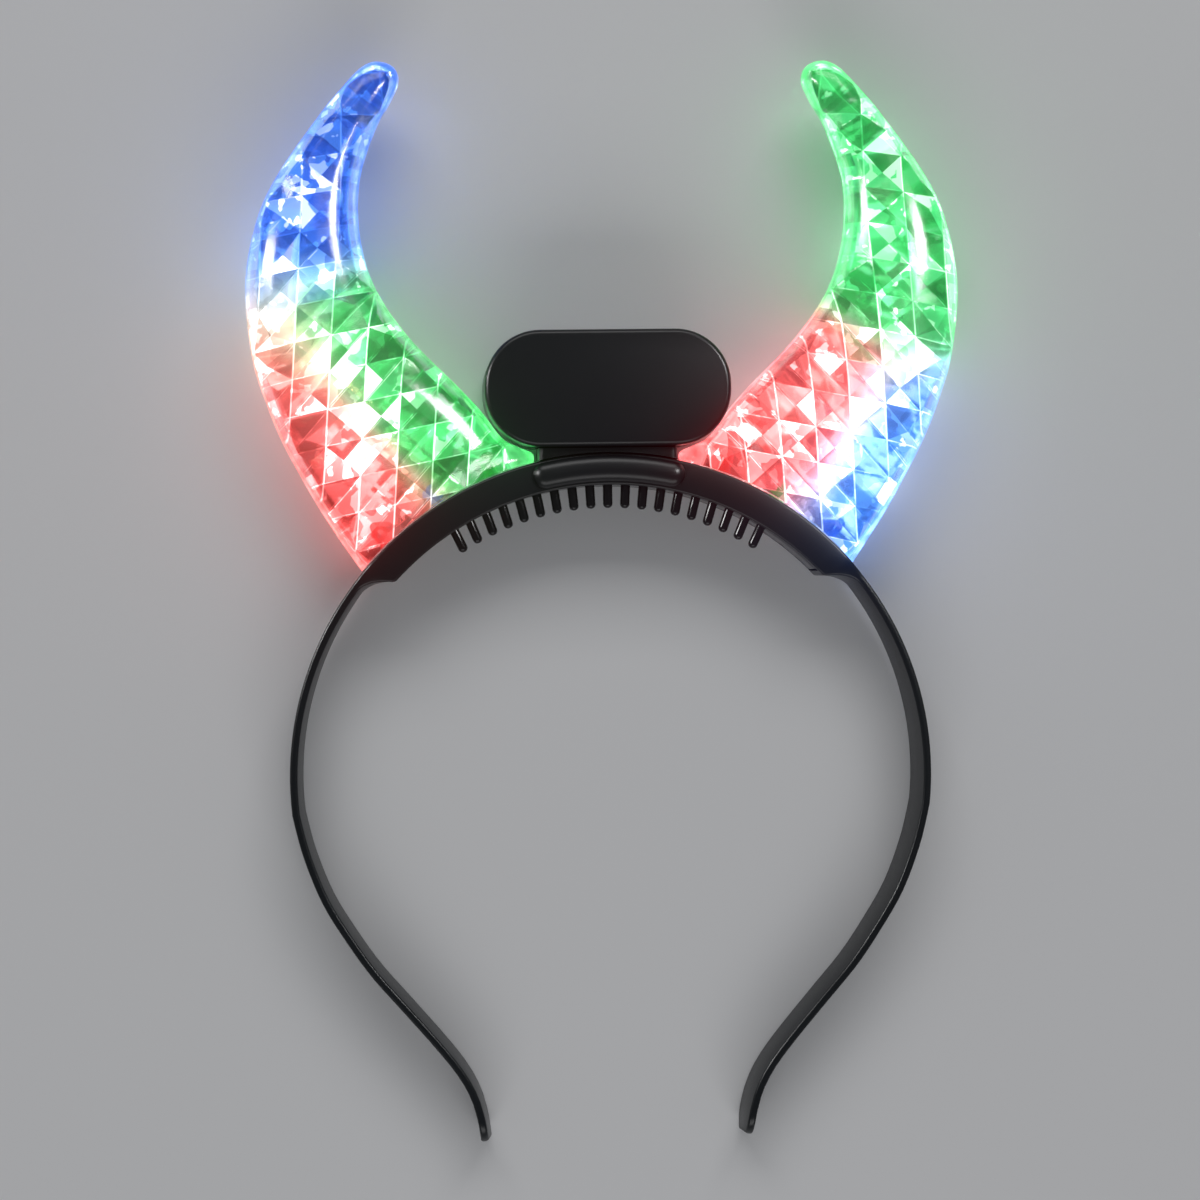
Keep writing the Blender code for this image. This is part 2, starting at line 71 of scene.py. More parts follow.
def smoothCurve(points, steps=8):
    # Goes through all the points
    guides = [2 * points[0] - points[1], *points, 2 * points[-1] - points[-2]]
    curve = []
    for a, b, c, d in zip(guides, guides[1:], guides[2:], guides[3:]):
        for step in range(steps):
            t = step / steps
            bend = (2 * a - 5 * b + 4 * c - d) * t**2 + (3 * b - a - 3 * c + d) * t**3
            curve.append(0.5 * (2 * b + (c - a) * t + bend))
    return [*curve, points[-1]]


def lengthsAlong(curve):
    lengths = [0.0]
    for a, b in zip(curve, curve[1:]):
        lengths.append(lengths[-1] + (b - a).length)
    return lengths


def atShares(curve, shares):
    # The points at rising shares of the curve's length
    lengths = lengthsAlong(curve)
    found = []
    place = 0
    for share in shares:
        target = share * lengths[-1]
        while place < len(curve) - 2 and lengths[place + 1] < target:
            place += 1
        span = lengths[place + 1] - lengths[place]
        t = min(1.0, (target - lengths[place]) / span)
        found.append(curve[place].lerp(curve[place + 1], t))
    return found


def tangentsOf(curve):
    ends = [curve[0], *curve, curve[-1]]
    return [(after - before).normalized() for before, after in zip(ends, ends[2:])]


def clamped(t):
    return min(1.0, max(0.0, t))


def smoothStep(t):
    t = clamped(t)
    return t * t * (3 - 2 * t)


# Small helpers for working as by hand
def startAfresh():
    if bpy.context.object and bpy.context.object.mode != "OBJECT":
        bpy.ops.object.mode_set(mode="OBJECT")
    bpy.ops.object.select_all(action="DESELECT")


def nameIt(name):
    piece = bpy.context.object
    piece.name = name
    piece.data.name = name
    return piece


def activate(piece):
    startAfresh()
    piece.select_set(True)
    bpy.context.view_layer.objects.active = piece


def applyPlace(piece):
    activate(piece)
    bpy.ops.object.transform_apply(location=True, rotation=True, scale=True)


def editOn(piece):
    activate(piece)
    bpy.ops.object.mode_set(mode="EDIT")


def editOff():
    bpy.ops.object.mode_set(mode="OBJECT")


def pick(kind, test):
    # Selects vertices, edges or faces by a test on their middle and their direction or normal
    bpy.ops.mesh.select_mode(type=kind)
    bpy.ops.mesh.select_all(action="DESELECT")
    shape = bmesh.from_edit_mesh(bpy.context.object.data)
    if kind == "VERT":
        for corner in shape.verts:
            corner.select_set(bool(test(corner.co, None)))
    elif kind == "EDGE":
        for edge in shape.edges:
            a, b = (corner.co for corner in edge.verts)
            edge.select_set(bool(test((a + b) / 2, (b - a).normalized())))
    else:
        for face in shape.faces:
            face.select_set(bool(test(face.calc_center_median(), face.normal)))
    shape.select_flush_mode()
    bmesh.update_edit_mesh(bpy.context.object.data)


def pickAll():
    bpy.ops.mesh.select_all(action="SELECT")


def extrudeBy(x, y, z):
    bpy.ops.mesh.extrude_region_move(TRANSFORM_OT_translate={"value": (x, y, z)})


def finishWith(piece, kind, **settings):
    activate(piece)
    modifier = piece.modifiers.new(kind.lower(), kind)
    for key, value in settings.items():
        setattr(modifier, key, value)
    bpy.ops.object.modifier_apply(modifier=modifier.name)


def cut(piece, tool, operation="DIFFERENCE"):
    finishWith(piece, "BOOLEAN", operation=operation, solver="EXACT", object=tool)
    bpy.data.objects.remove(tool, do_unlink=True)


def roundEdges(piece, width, segments):
    finishWith(piece, "BEVEL", width=width, segments=segments, limit_method="ANGLE",
               angle_limit=math.radians(40))


def mergeSlivers(piece):
    editOn(piece)
    pickAll()
    bpy.ops.mesh.remove_doubles(threshold=near["sliver"])
    bpy.ops.mesh.dissolve_degenerate(threshold=near["point"])
    editOff()


def normalsOutward():
    # Recalculated normals of a crescent can come out inward, so the volume's sign is looked at.
    pickAll()
    bpy.ops.mesh.normals_make_consistent(inside=False)
    shape = bmesh.from_edit_mesh(bpy.context.object.data)
    if shape.calc_volume(signed=True) < 0:
        bpy.ops.mesh.flip_normals()


def copyOf(piece, name):
    activate(piece)
    bpy.ops.object.duplicate()
    return nameIt(name)


def mirrorPiece(piece):
    activate(piece)
    piece.scale.x = -1
    bpy.ops.object.transform_apply(location=False, rotation=False, scale=True)
    bpy.ops.object.mode_set(mode="EDIT")
    normalsOutward()
    editOff()


def shadeByAngle(piece, degrees):
    activate(piece)
    bpy.ops.object.shade_smooth_by_angle(angle=math.radians(degrees))


def finishPiece(piece, node, materials):
    # Lays the piece down, gives it its materials and hides the CAD node that it stands for
    piece.data.transform(rest)
    for number, material in enumerate(materials):
        if number < len(piece.data.materials):
            piece.data.materials[number] = material
        else:
            piece.data.materials.append(material)
    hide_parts(node)
    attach(piece, "root")


# Small helpers for materials
def newMaterial(name):
    material = bpy.data.materials.new(name)
    material.use_nodes = True
    tree = material.node_tree
    return material, tree, tree.nodes["Principled BSDF"]


def fill(tree, socket, value):
    if isinstance(value, bpy.types.NodeSocket):
        tree.links.new(value, socket)
    elif value is not None:
        socket.default_value = value


def setInputs(tree, node, values):
    for name, value in values.items():
        fill(tree, node.inputs[name], value)


def addNode(tree, kind, inputs=(), **settings):
    # inputs are values or sockets, in the order of the node's own inputs
    node = tree.nodes.new(kind)
    for key, value in settings.items():
        setattr(node, key, value)
    for socket, value in zip(node.inputs, inputs):
        fill(tree, socket, value)
    return node


def calculate(tree, operation, *inputs):
    return addNode(tree, "ShaderNodeMath", inputs, operation=operation).outputs[0]


def calculateVector(tree, operation, *inputs):
    node = addNode(tree, "ShaderNodeVectorMath", operation=operation)
    sockets = node.inputs
    if operation == "SCALE":
        sockets = (node.inputs["Vector"], node.inputs["Scale"])
    for socket, value in zip(sockets, inputs):
        fill(tree, socket, value)
    givesNumber = operation in ("DISTANCE", "DOT_PRODUCT")
    return node.outputs["Value" if givesNumber else "Vector"]


def chain(tree, operation, values, way=calculate):
    result = values[0]
    for value in values[1:]:
        result = way(tree, operation, result, value)
    return result


def between(tree, value, low, high, outLow=0.0, outHigh=1.0, smooth=False):
    node = addNode(tree, "ShaderNodeMapRange", (value, low, high, outLow, outHigh))
    node.interpolation_type = "SMOOTHSTEP" if smooth else "LINEAR"
    return node.outputs[0]


def mixColours(tree, share, first, second):
    node = addNode(tree, "ShaderNodeMix", data_type="RGBA")
    setInputs(tree, node, {"Factor": share, "A": first, "B": second})
    return node.outputs["Result"]


def whiten(tree, colour, share):
    return mixColours(tree, share, colour, (1, 1, 1, 1))


def objectPlace(tree):
    return addNode(tree, "ShaderNodeTexCoord").outputs["Object"]


def noise(tree, place, scale, detail, output="Fac"):
    return addNode(tree, "ShaderNodeTexNoise", (place, None, scale, detail)).outputs[output]


def bump(tree, height, strength, distance):
    node = addNode(tree, "ShaderNodeBump")
    setInputs(tree, node, {"Height": height, "Strength": strength, "Distance": distance})
    return node.outputs["Normal"]


# Black plastic
plastic = {
    "darker": (0.0045, 0.006, 0.0078, 1),
    "paler": (0.0075, 0.0095, 0.012, 1),
    "cloudScale": 60.0,
    "grainScale": 2600.0,
    "grainDepth": 0.05 * mm,
    "smoother": 0.02,  # roughness in the grain's hollows and on its heights
    "rougher": 0.03,
    "specular": 0.36,
    # roughness and strength of the grain
    "satin": (0.30, 0.1),
    "glossy": (0.16, 0.03),
}


def blackPlastic(name, finish):
    # Black moulded plastic with a fine spark-eroded grain and a faint cloudy sheen
    roughness, grain = plastic[finish]
    material, tree, shader = newMaterial(name)
    place = objectPlace(tree)
    clouds = noise(tree, place, plastic["cloudScale"], 3.0)
    fine = noise(tree, place, plastic["grainScale"], 2.0)
    least = roughness - plastic["smoother"]
    most = roughness + plastic["rougher"]
    setInputs(tree, shader, {
        "Base Color": mixColours(tree, clouds, plastic["darker"], plastic["paler"]),
        "Roughness": between(tree, fine, 0.3, 0.7, least, most),
        "Normal": bump(tree, fine, grain, plastic["grainDepth"]),
        "Specular IOR Level": plastic["specular"],
    })
    return material


# Band: a straight bar, drawn out section by section, then bent along the outer edge and mirrored
band = {
    "outerRadius": 67.2 * mm,
    "crownThickness": 6.5 * mm,
    "crownHalfDepth": 7.0 * mm,
    "crownEndAngle": 47.5,  # degrees from the top
    "stepEndAngle": 53.0,
    "arcEndAngle": 96.5,
    "armThickness": 1.6 * mm,
    "armDraft": 0.9 * mm,  # thicker at the back edge
    "armHalfDepth": 6.0 * mm,
    "footHalfDepth": 5.2 * mm,
    "footRounding": 5.0 * mm,
    "footLength": 6.0 * mm,
    "footEnd": 0.4 * mm,  # keeps the end a little wide
    "stepCurve": 1.6,
    "channelWall": 1.6 * mm,
    "edgeRounding": 0.5 * mm,
    "smoothAngle": 32,
    "arcSteps": 96,
    "sections": {"crown": 24, "step": 10, "arm": 52, "foot": 12},
    "armOuterEdge": (
        (64.6, -16.0), (60.9, -25.5), (55.9, -33.9), (50.8, -41.2), (45.4, -47.5),
        (38.2, -55.9), (33.6, -61.8), (30.9, -66.6), (29.4, -71.5), (28.6, -76.6),
    ),
}


def bandPath():
    angles = evenSteps(0, band["arcEndAngle"], band["arcSteps"])
    arc = [onArc(band["outerRadius"], angle) for angle in angles]
    lower = smoothCurve([arc[-1]] + [Vector(p) * mm for p in band["armOuterEdge"]])
    return arc + lower[1:]


def drawPath(name, points):
    curve = bpy.data.curves.new(name, "CURVE")
    curve.dimensions = "2D"
    spline = curve.splines.new("POLY")
    spline.points.add(len(points) - 1)
    for corner, point in zip(spline.points, points):
        corner.co = (point.x, point.y, 0, 1)
    path = bpy.data.objects.new(name, curve)
    bpy.context.scene.collection.objects.link(path)
    return path


def alongBand(angle):
    return math.radians(angle) * band["outerRadius"]


def bandStations(totalLength):
    # Each section's distance along, thickness in front, thickness behind and half depth
    crownEnd = alongBand(band["crownEndAngle"])
    stepEnd = alongBand(band["stepEndAngle"])
    arcEnd = alongBand(band["arcEndAngle"])
    ends = (0, crownEnd, stepEnd, totalLength - band["footLength"], totalLength)
    places = [0]
    for start, end, count in zip(ends, ends[1:], band["sections"].values()):
        places += evenSteps(start, end, count)[1:]
    stations = []
    for x in places:
        left = clamped((stepEnd - x) / (stepEnd - crownEnd))
        blend = smoothStep(left)
        thicker = band["crownThickness"] - band["armThickness"]
        thickness = band["armThickness"] + thicker * left ** band["stepCurve"]
        depth = band["armHalfDepth"] + (band["crownHalfDepth"] - band["armHalfDepth"]) * blend
        if x > stepEnd:
            share = clamped((x - arcEnd) / (totalLength - arcEnd))
            depth += (band["footHalfDepth"] - band["armHalfDepth"]) * share
            toEnd = totalLength - x
            missing = max(0.0, 1 - (toEnd + band["footEnd"]) / band["footRounding"])
            depth *= math.sqrt(1 - missing**2)
        stations.append((x, thickness, thickness + band["armDraft"] * (1 - blend), depth))
    return stations


def openAtMiddle():
    pick("FACE", lambda middle, normal: middle.x < near["section"])
    bpy.ops.mesh.delete(type="FACE")


def straightBar(name, stations):
    # y = 0 is the outer face and the bar hangs below it.
    startAfresh()
    bpy.ops.mesh.primitive_plane_add(size=2, rotation=(0, math.radians(90), 0))
    bar = nameIt(name)
    x, thickness, _, depth = stations[0]
    bar.location = (x, -thickness / 2, 0)
    applyPlace(bar)
    editOn(bar)
    pickAll()
    bpy.ops.transform.resize(value=(1, thickness / 2, depth),
                             center_override=(x, -thickness / 2, 0))
    for (x0, t0, _, d0), (x1, t1, _, d1) in zip(stations, stations[1:]):
        extrudeBy(x1 - x0, 0, 0)
        bpy.ops.transform.resize(value=(1, t1 / t0, d1 / d0), center_override=(x1, 0, 0))
    for x, thickness, back, _ in stations:
        if back > thickness:
            pick("VERT", lambda co, _: abs(co.x - x) < near["section"] and co.z < 0
                 and co.y < -near["middle"])
            bpy.ops.transform.translate(value=(0, thickness - back, 0))
    openAtMiddle()
    normalsOutward()
    editOff()
    return bar


def bendAndMirror(piece, path):
    finishWith(piece, "CURVE", object=path, deform_axis="POS_X")
    editOn(piece)  # the bend leaves the middle section slightly off x = 0
    pick("VERT", lambda co, _: abs(co.x) < near["middle"])
    bpy.ops.transform.resize(value=(0, 1, 1), center_override=(0, 0, 0))
    editOff()
    finishWith(piece, "MIRROR", use_axis=(True, False, False), merge_threshold=near["mirror"])
    editOn(piece)
    normalsOutward()
    editOff()


frontBar = {
    "middleRadius": 64.1 * mm,
    "halfLength": 16.8 * mm,
    "halfWidth": 2.75 * mm,
    "height": 1.9 * mm,
    "around": 28,
    "sections": 10,
    "endAngles": (15, 30, 45, 60, 72, 82, 88),  # sections of the round end
}


def modelFrontBar(path):
    # Half a rounded sausage, bent with the crown and sunk into its front to its middle
    startAfresh()
    bpy.ops.mesh.primitive_circle_add(vertices=frontBar["around"], radius=1, fill_type="NGON",
                                      rotation=(0, math.radians(90), 0))
    bar = nameIt("crownFrontBar")
    applyPlace(bar)
    editOn(bar)
    pickAll()
    bpy.ops.transform.resize(value=(1, frontBar["halfWidth"], frontBar["height"]))
    straight = frontBar["halfLength"] - frontBar["halfWidth"]
    for _ in range(frontBar["sections"]):
        extrudeBy(straight / frontBar["sections"], 0, 0)
    reached = 0.0
    size = 1.0
    for turn in frontBar["endAngles"]:
        further = math.sin(math.radians(turn)) * frontBar["halfWidth"]
        smaller = math.cos(math.radians(turn))
        extrudeBy(further - reached, 0, 0)
        bpy.ops.transform.resize(value=(1, smaller / size, smaller / size))
        reached = further
        size = smaller
    openAtMiddle()
    pickAll()
    sink = frontBar["middleRadius"] - band["outerRadius"]
    bpy.ops.transform.translate(value=(0, sink, band["crownHalfDepth"]))
    editOff()
    bendAndMirror(bar, path)
    return bar


def modelBand(path, pathLength):
    bar = straightBar("bandWithCrown", bandStations(pathLength))
    roundEdges(bar, band["edgeRounding"], 3)
    crownEnd = alongBand(band["crownEndAngle"])
    inner = -band["crownThickness"]
    editOn(bar)  # the crown is a channel that is open underneath
    pick("FACE", lambda middle, normal: middle.x < crownEnd
         and abs(middle.y - inner) < near["section"])
    bpy.ops.mesh.inset(thickness=band["channelWall"] - band["edgeRounding"], use_boundary=False)
    extrudeBy(0, band["crownThickness"] - band["channelWall"], 0)
    openAtMiddle()
    editOff()
    bendAndMirror(bar, path)
    cut(bar, modelFrontBar(path), "UNION")
    mergeSlivers(bar)
    shadeByAngle(bar, band["smoothAngle"])
    finishPiece(bar, "band", [blackPlastic("bandPlastic", "satin")])
    print("band done")


# Comb strip
comb = {
    "stripThickness": 1.8 * mm,
    "edgeRounding": 0.2 * mm,
    "endAngle": 45.7,
    "sections": 24,
    "teeth": 19,
    "pitchAngle": 3.55,
    "lean": 0.8,  # 1 would point every tooth at the circle's middle
    "toothRadius": 1.0 * mm,
    "toothSides": 20,
    "tipRadius": 55.9 * mm,  # from the circle's middle
    "tipRounding": 0.92,
    "rootOverlap": 0.9 * mm,
    "forward": 2.0 * mm,
    "smoothAngle": 35,
}


def toothRoot():
    return band["outerRadius"] - band["crownThickness"] + comb["rootOverlap"]


def modelTooth():
    startAfresh()
    length = toothRoot() - comb["tipRadius"]
    bpy.ops.mesh.primitive_cylinder_add(vertices=comb["toothSides"], radius=comb["toothRadius"],
                                        depth=length, rotation=(math.radians(90), 0, 0))
    tooth = nameIt("combTooth")
    applyPlace(tooth)
    editOn(tooth)  # lies along Y, its tip towards -Y
    pick("FACE", lambda middle, normal: normal.y < -0.9)
    bpy.ops.mesh.bevel(offset=comb["tipRounding"] * comb["toothRadius"], segments=5,
                       affect="EDGES")
    pickAll()
    bpy.ops.transform.translate(value=(0, -length / 2, 0))
    editOff()
    return tooth


def modelComb(path):
    thick = comb["stripThickness"]
    halfDepth = band["crownHalfDepth"] - band["channelWall"] - gap
    places = evenSteps(0, alongBand(comb["endAngle"]), comb["sections"])
    strip = straightBar("combStrip", [(x, thick, thick, halfDepth) for x in places])
    editOn(strip)
    pickAll()
    bpy.ops.transform.translate(value=(0, thick - band["crownThickness"], 0))
    editOff()
    roundEdges(strip, comb["edgeRounding"], 2)
    bendAndMirror(strip, path)
    pattern = modelTooth()
    teeth = []
    for i in range(comb["teeth"]):
        angle = (i - (comb["teeth"] - 1) / 2) * comb["pitchAngle"]
        tooth = copyOf(pattern, f"combTooth{i}")
        root = onArc(toothRoot(), angle)
        tooth.location = (root.x, root.y, comb["forward"])
        tooth.rotation_euler.z = -math.radians(angle * comb["lean"])
        applyPlace(tooth)
        teeth.append(tooth)
    bpy.data.objects.remove(pattern, do_unlink=True)
    startAfresh()
    for tooth in teeth:
        tooth.select_set(True)
    bpy.context.view_layer.objects.active = teeth[0]
    bpy.ops.object.join()
    cut(strip, bpy.context.object, "UNION")
    shadeByAngle(strip, comb["smoothAngle"])
    finishPiece(strip, "comb_strip", [blackPlastic("combPlastic", "glossy")])
    print("comb strip done")


# Battery case
case = {
    "width": 51.4 * mm,
    "height": 24.2 * mm,
    "corner": 11.6 * mm,
    "cornerSegments": 18,
    "middleY": 80.8 * mm,
    "front": 9.5 * mm,
    "back": 8.6 * mm,
    "wall": 1.8 * mm,
    "seamLip": 0.35 * mm,
    "fillet": 1.1 * mm,
    "smoothAngle": 35,
    "neckHalfWidth": 14.6 * mm,
    "neckHalfDepth": 6.2 * mm,
    "neckRounding": 1.3 * mm,
    "neckBottom": 60.0 * mm,  # under the crown's face, which cuts it off
    "neckOverlap": 1.2 * mm,  # how far the neck reaches into the rear half's wall
    "coverClearance": 2 * gap,  # behind the seam's plane
}


def restMatrix():
    # The case's front face is a mount of the record: its place and normal give the resting pose.
    face = next(m for m in frame["record"]["mounts"] if m["name"] == "case_front_face")
    turn = Matrix.Rotation(math.atan2(-face["axis"][1], face["axis"][2]), 4, "X")
    drawn = Vector((0, case["middleY"], case["front"]))
    return Matrix.Translation(Vector(face["pos_m"]) - turn @ drawn) @ turn


rest = restMatrix()


def caseHalf(name, face, way):
    startAfresh()
    deep = face - gap / 2
    bpy.ops.mesh.primitive_cube_add(size=1, scale=(case["width"], case["height"], deep),
                                    location=(0, case["middleY"], way * (gap / 2 + deep / 2)))
    half = nameIt(name)
    applyPlace(half)
    editOn(half)
    pick("EDGE", lambda middle, direction: abs(direction.z) > 0.9)
    bpy.ops.mesh.bevel(offset=case["corner"], segments=case["cornerSegments"], affect="EDGES")
    pick("FACE", lambda middle, normal: way * normal.z > 0.9)
    bpy.ops.mesh.region_to_loop()
    bpy.ops.mesh.bevel(offset=case["fillet"], segments=5, affect="EDGES")
    pick("FACE", lambda middle, normal: way * normal.z < -0.9)
    bpy.ops.mesh.inset(thickness=case["seamLip"])
    bpy.ops.mesh.inset(thickness=case["wall"] - case["seamLip"])
    extrudeBy(0, 0, way * (deep - case["wall"]))
    editOff()
    return half


def crownCutter():
    startAfresh()
    bpy.ops.mesh.primitive_cylinder_add(vertices=360, radius=horn["footRadius"], depth=40 * mm)
    return nameIt("crownCutter")


def modelNeck():
    # A block on the crown's arc, whose back part rises into the rear half's wall
    startAfresh()
    top = case["middleY"] - case["height"] / 2 - gap
    bottom = case["neckBottom"]
    size = (2 * case["neckHalfWidth"], top - bottom, 2 * case["neckHalfDepth"])
    bpy.ops.mesh.primitive_cube_add(size=1, location=(0, (top + bottom) / 2, 0), scale=size)
    neck = nameIt("caseNeck")
    applyPlace(neck)
    editOn(neck)
    pick("EDGE", lambda middle, direction: abs(direction.y) > 0.9)
    bpy.ops.mesh.bevel(offset=case["neckRounding"], segments=5, affect="EDGES")
    pickAll()
    behind = -case["coverClearance"]
    bpy.ops.mesh.bisect(plane_co=(0, 0, behind), plane_no=(0, 0, 1))
    pick("FACE", lambda middle, normal: normal.y > 0.9 and middle.z < behind)
    extrudeBy(0, gap + case["neckOverlap"], 0)
    normalsOutward()
    editOff()
    cut(neck, crownCutter())
    return neck


def modelCase():
    cover = caseHalf("caseFrontCover", case["front"], 1)
    shadeByAngle(cover, case["smoothAngle"])
    satin = blackPlastic("coverPlastic", "satin")
    finishPiece(cover, "pod_front_cover", [satin])

    rear = caseHalf("caseRear", case["back"], -1)
    cut(rear, modelNeck(), "UNION")
    shadeByAngle(rear, case["smoothAngle"])
    satin = blackPlastic("rearPlastic", "satin")
    finishPiece(rear, "pod_rear_case", [satin])
    print("battery case done")


# Horns
horn = {
    "footRadius": 67.5 * mm,
    "footAngles": (50.0, 13.1),  # outer and inner end, degrees from the top
    "cavityAngles": (48.0, 17.5),
    "outerEdge": (
        (56.4, 50.3), (61.0, 57.7), (67.6, 70.1), (71.4, 79.7), (73.8, 88.1), (75.1, 102.4),
        (72.8, 115.6), (68.3, 125.7), (59.4, 138.3), (54.4, 144.3), (50.2, 148.6),
    ),
    "tip": (46.8, 149.9),
    "innerEdge": (
        (43.4, 148.6), (42.5, 145.6), (44.4, 141.2), (47.5, 135.6), (50.9, 124.9),
        (51.0, 113.5), (48.0, 102.7), (41.0, 92.1), (30.4, 81.2), (25.9, 76.2), (21.9, 70.9),
        (18.3, 68.9), (15.5, 67.6),
    ),
    "footHalfDepth": 6.8 * mm,
    "halfDepth": 10.4 * mm,
    "depthRise": 0.35,  # the share of the length over which the depth grows
    "roundness": 2.3,  # 2 gives elliptic sections
    "wall": 2.0 * mm,
    "rows": 80,
    "around": 80,
    "sink": 4.0 * mm,  # into the crown, before the crown's face cuts it off
    "smoothAngle": 20,
    # the cavity before its pyramids, and the quilts of pyramids in it
    "cavityRows": 40,
    "cavityAround": 40,
    "cavitySink": 6.0 * mm,
    "cavityLeast": 1.0 * mm,  # half depth at its thin edges
    "pyramidPitch": 7.6 * mm,
    "pyramidHeight": 1.5 * mm,
    "pyramidInset": 0.12 * mm,
    "tipLeast": 0.6,  # of cavityLeast, for the pyramids' tips
    "columnLean": 3.5,
    "rowSlope": 11.0,
    "latticeStart": (50.6, 78.5),
    "cells": 28,
    "quiltLift": 40.0 * mm,
}


def latticeSteps(side="right"):
    # One step along a row and one up a column
    along = onArc(horn["pyramidPitch"], 90 + horn["rowSlope"])
    up = onArc(horn["pyramidPitch"], -horn["columnLean"])
    return [Vector((sides[side] * step.x, step.y)) for step in (along, up)]


def toLattice(side):
    along, up = latticeSteps(side)
    return Matrix(((along.x, up.x), (along.y, up.y))).inverted()


def angleOf(point):
    return math.degrees(math.atan2(point.x, point.y))


def hornOutline(inset):
    # The right horn from its foot's outer end over the tip to the inner end
    ends = [onArc(horn["footRadius"], angle) for angle in horn["footAngles"]]
    drawn = [Vector(p) * mm for p in (*horn["outerEdge"], horn["tip"], *horn["innerEdge"])]
    outline = smoothCurve([ends[0], *drawn, ends[1]])
    if inset == 0:
        return outline
    outerEnd, innerEnd = horn["cavityAngles"]
    farFromCrown = 1.4 * horn["footRadius"]
    offCrown = 1.01 * horn["footRadius"]
    kept = []
    for point, along in zip(outline, tangentsOf(outline)):
        moved = point + inset * Vector((-along.y, along.x))
        overFoot = innerEnd < angleOf(moved) < outerEnd
        if moved.length > farFromCrown or (moved.length > offCrown and overFoot):
            kept.append(moved)
    return [onArc(horn["footRadius"], outerEnd), *kept, onArc(horn["footRadius"], innerEnd)]


def hornSections(inset, rows, around, deeper):
    # Closed sections from the foot's arc to the tip, and before them a straight one that is
    # sunk into the crown by deeper
    outline = hornOutline(inset)
    tip = max(range(len(outline)), key=lambda i: outline[i].y)
    # the sections stand closer together at both ends
    shares = [0.4 * t + 0.3 * (1 - math.cos(math.pi * t)) for t in evenSteps(0, 1, rows)]
    outerSide = atShares(outline[: tip + 1], shares)
    innerSide = atShares(outline[: tip - 1 : -1], shares)
    angles = [angleOf(outline[0]), angleOf(outline[-1])]
    sections = []
    for share, outer, inner in zip(shares, outerSide, innerSide):
        halfWidth = (outer - inner).length / 2 + inset
        rise = smoothStep(share / horn["depthRise"])
        most = horn["footHalfDepth"] + (horn["halfDepth"] - horn["footHalfDepth"]) * rise
        # the smaller one of half width and depth counts, with a soft change between them
        limit = halfWidth * most / (halfWidth**4 + most**4) ** (1 / 4)
        depth = max(0.0, limit - inset)
        arcShare = max(0.0, 1 - share / horn["depthRise"]) ** 2
        section = []
        for i in range(around):
            across = math.cos(math.tau * i / around)
            u = (1 - across) / 2
            chord = outline[0].lerp(outline[-1], u)
            arc = onArc(horn["footRadius"], angles[0] + (angles[1] - angles[0]) * u)
            point = outer.lerp(inner, u) + (arc - chord) * arcShare
            bulge = max(0.0, 1 - abs(across) ** horn["roundness"]) ** (1 / horn["roundness"])
            way = 1 if i < around / 2 else -1
            section.append(Vector((*point, way * depth * bulge)))
        sections.append(section)
    chord = (outline[-1] - outline[0]).normalized()
    down = deeper * Vector((-chord.y, chord.x))
    sunk = []
    for i, point in enumerate(sections[0]):
        u = (1 - math.cos(math.tau * i / around)) / 2
        sunk.append(Vector((*(outline[0].lerp(outline[-1], u) + down), point.z)))
    return [sunk, *sections]


def drawOut(name, sections):
    # A disc, extruded and shaped section by section
    startAfresh()
    count = len(sections[0])
    bpy.ops.mesh.primitive_circle_add(vertices=count, radius=1, fill_type="NGON")
    body = nameIt(name)
    turns = [math.tau * i / count for i in range(count)]
    before = [Vector((math.cos(turn), math.sin(turn), 0)) for turn in turns]
    editOn(body)
    pickAll()
    for number, section in enumerate(sections):
        if number:
            extrudeBy(0, 0, 0)
        shape = bmesh.from_edit_mesh(body.data)
        for corner in [c for c in shape.verts if c.select]:
            nearest = min(range(count), key=lambda i: (before[i] - corner.co).length_squared)
            corner.co = section[nearest]
        shape.normal_update()
        bmesh.update_edit_mesh(body.data)
        before = section
    pickAll()
    bpy.ops.mesh.remove_doubles(threshold=near["point"])
    normalsOutward()
    editOff()
    return body


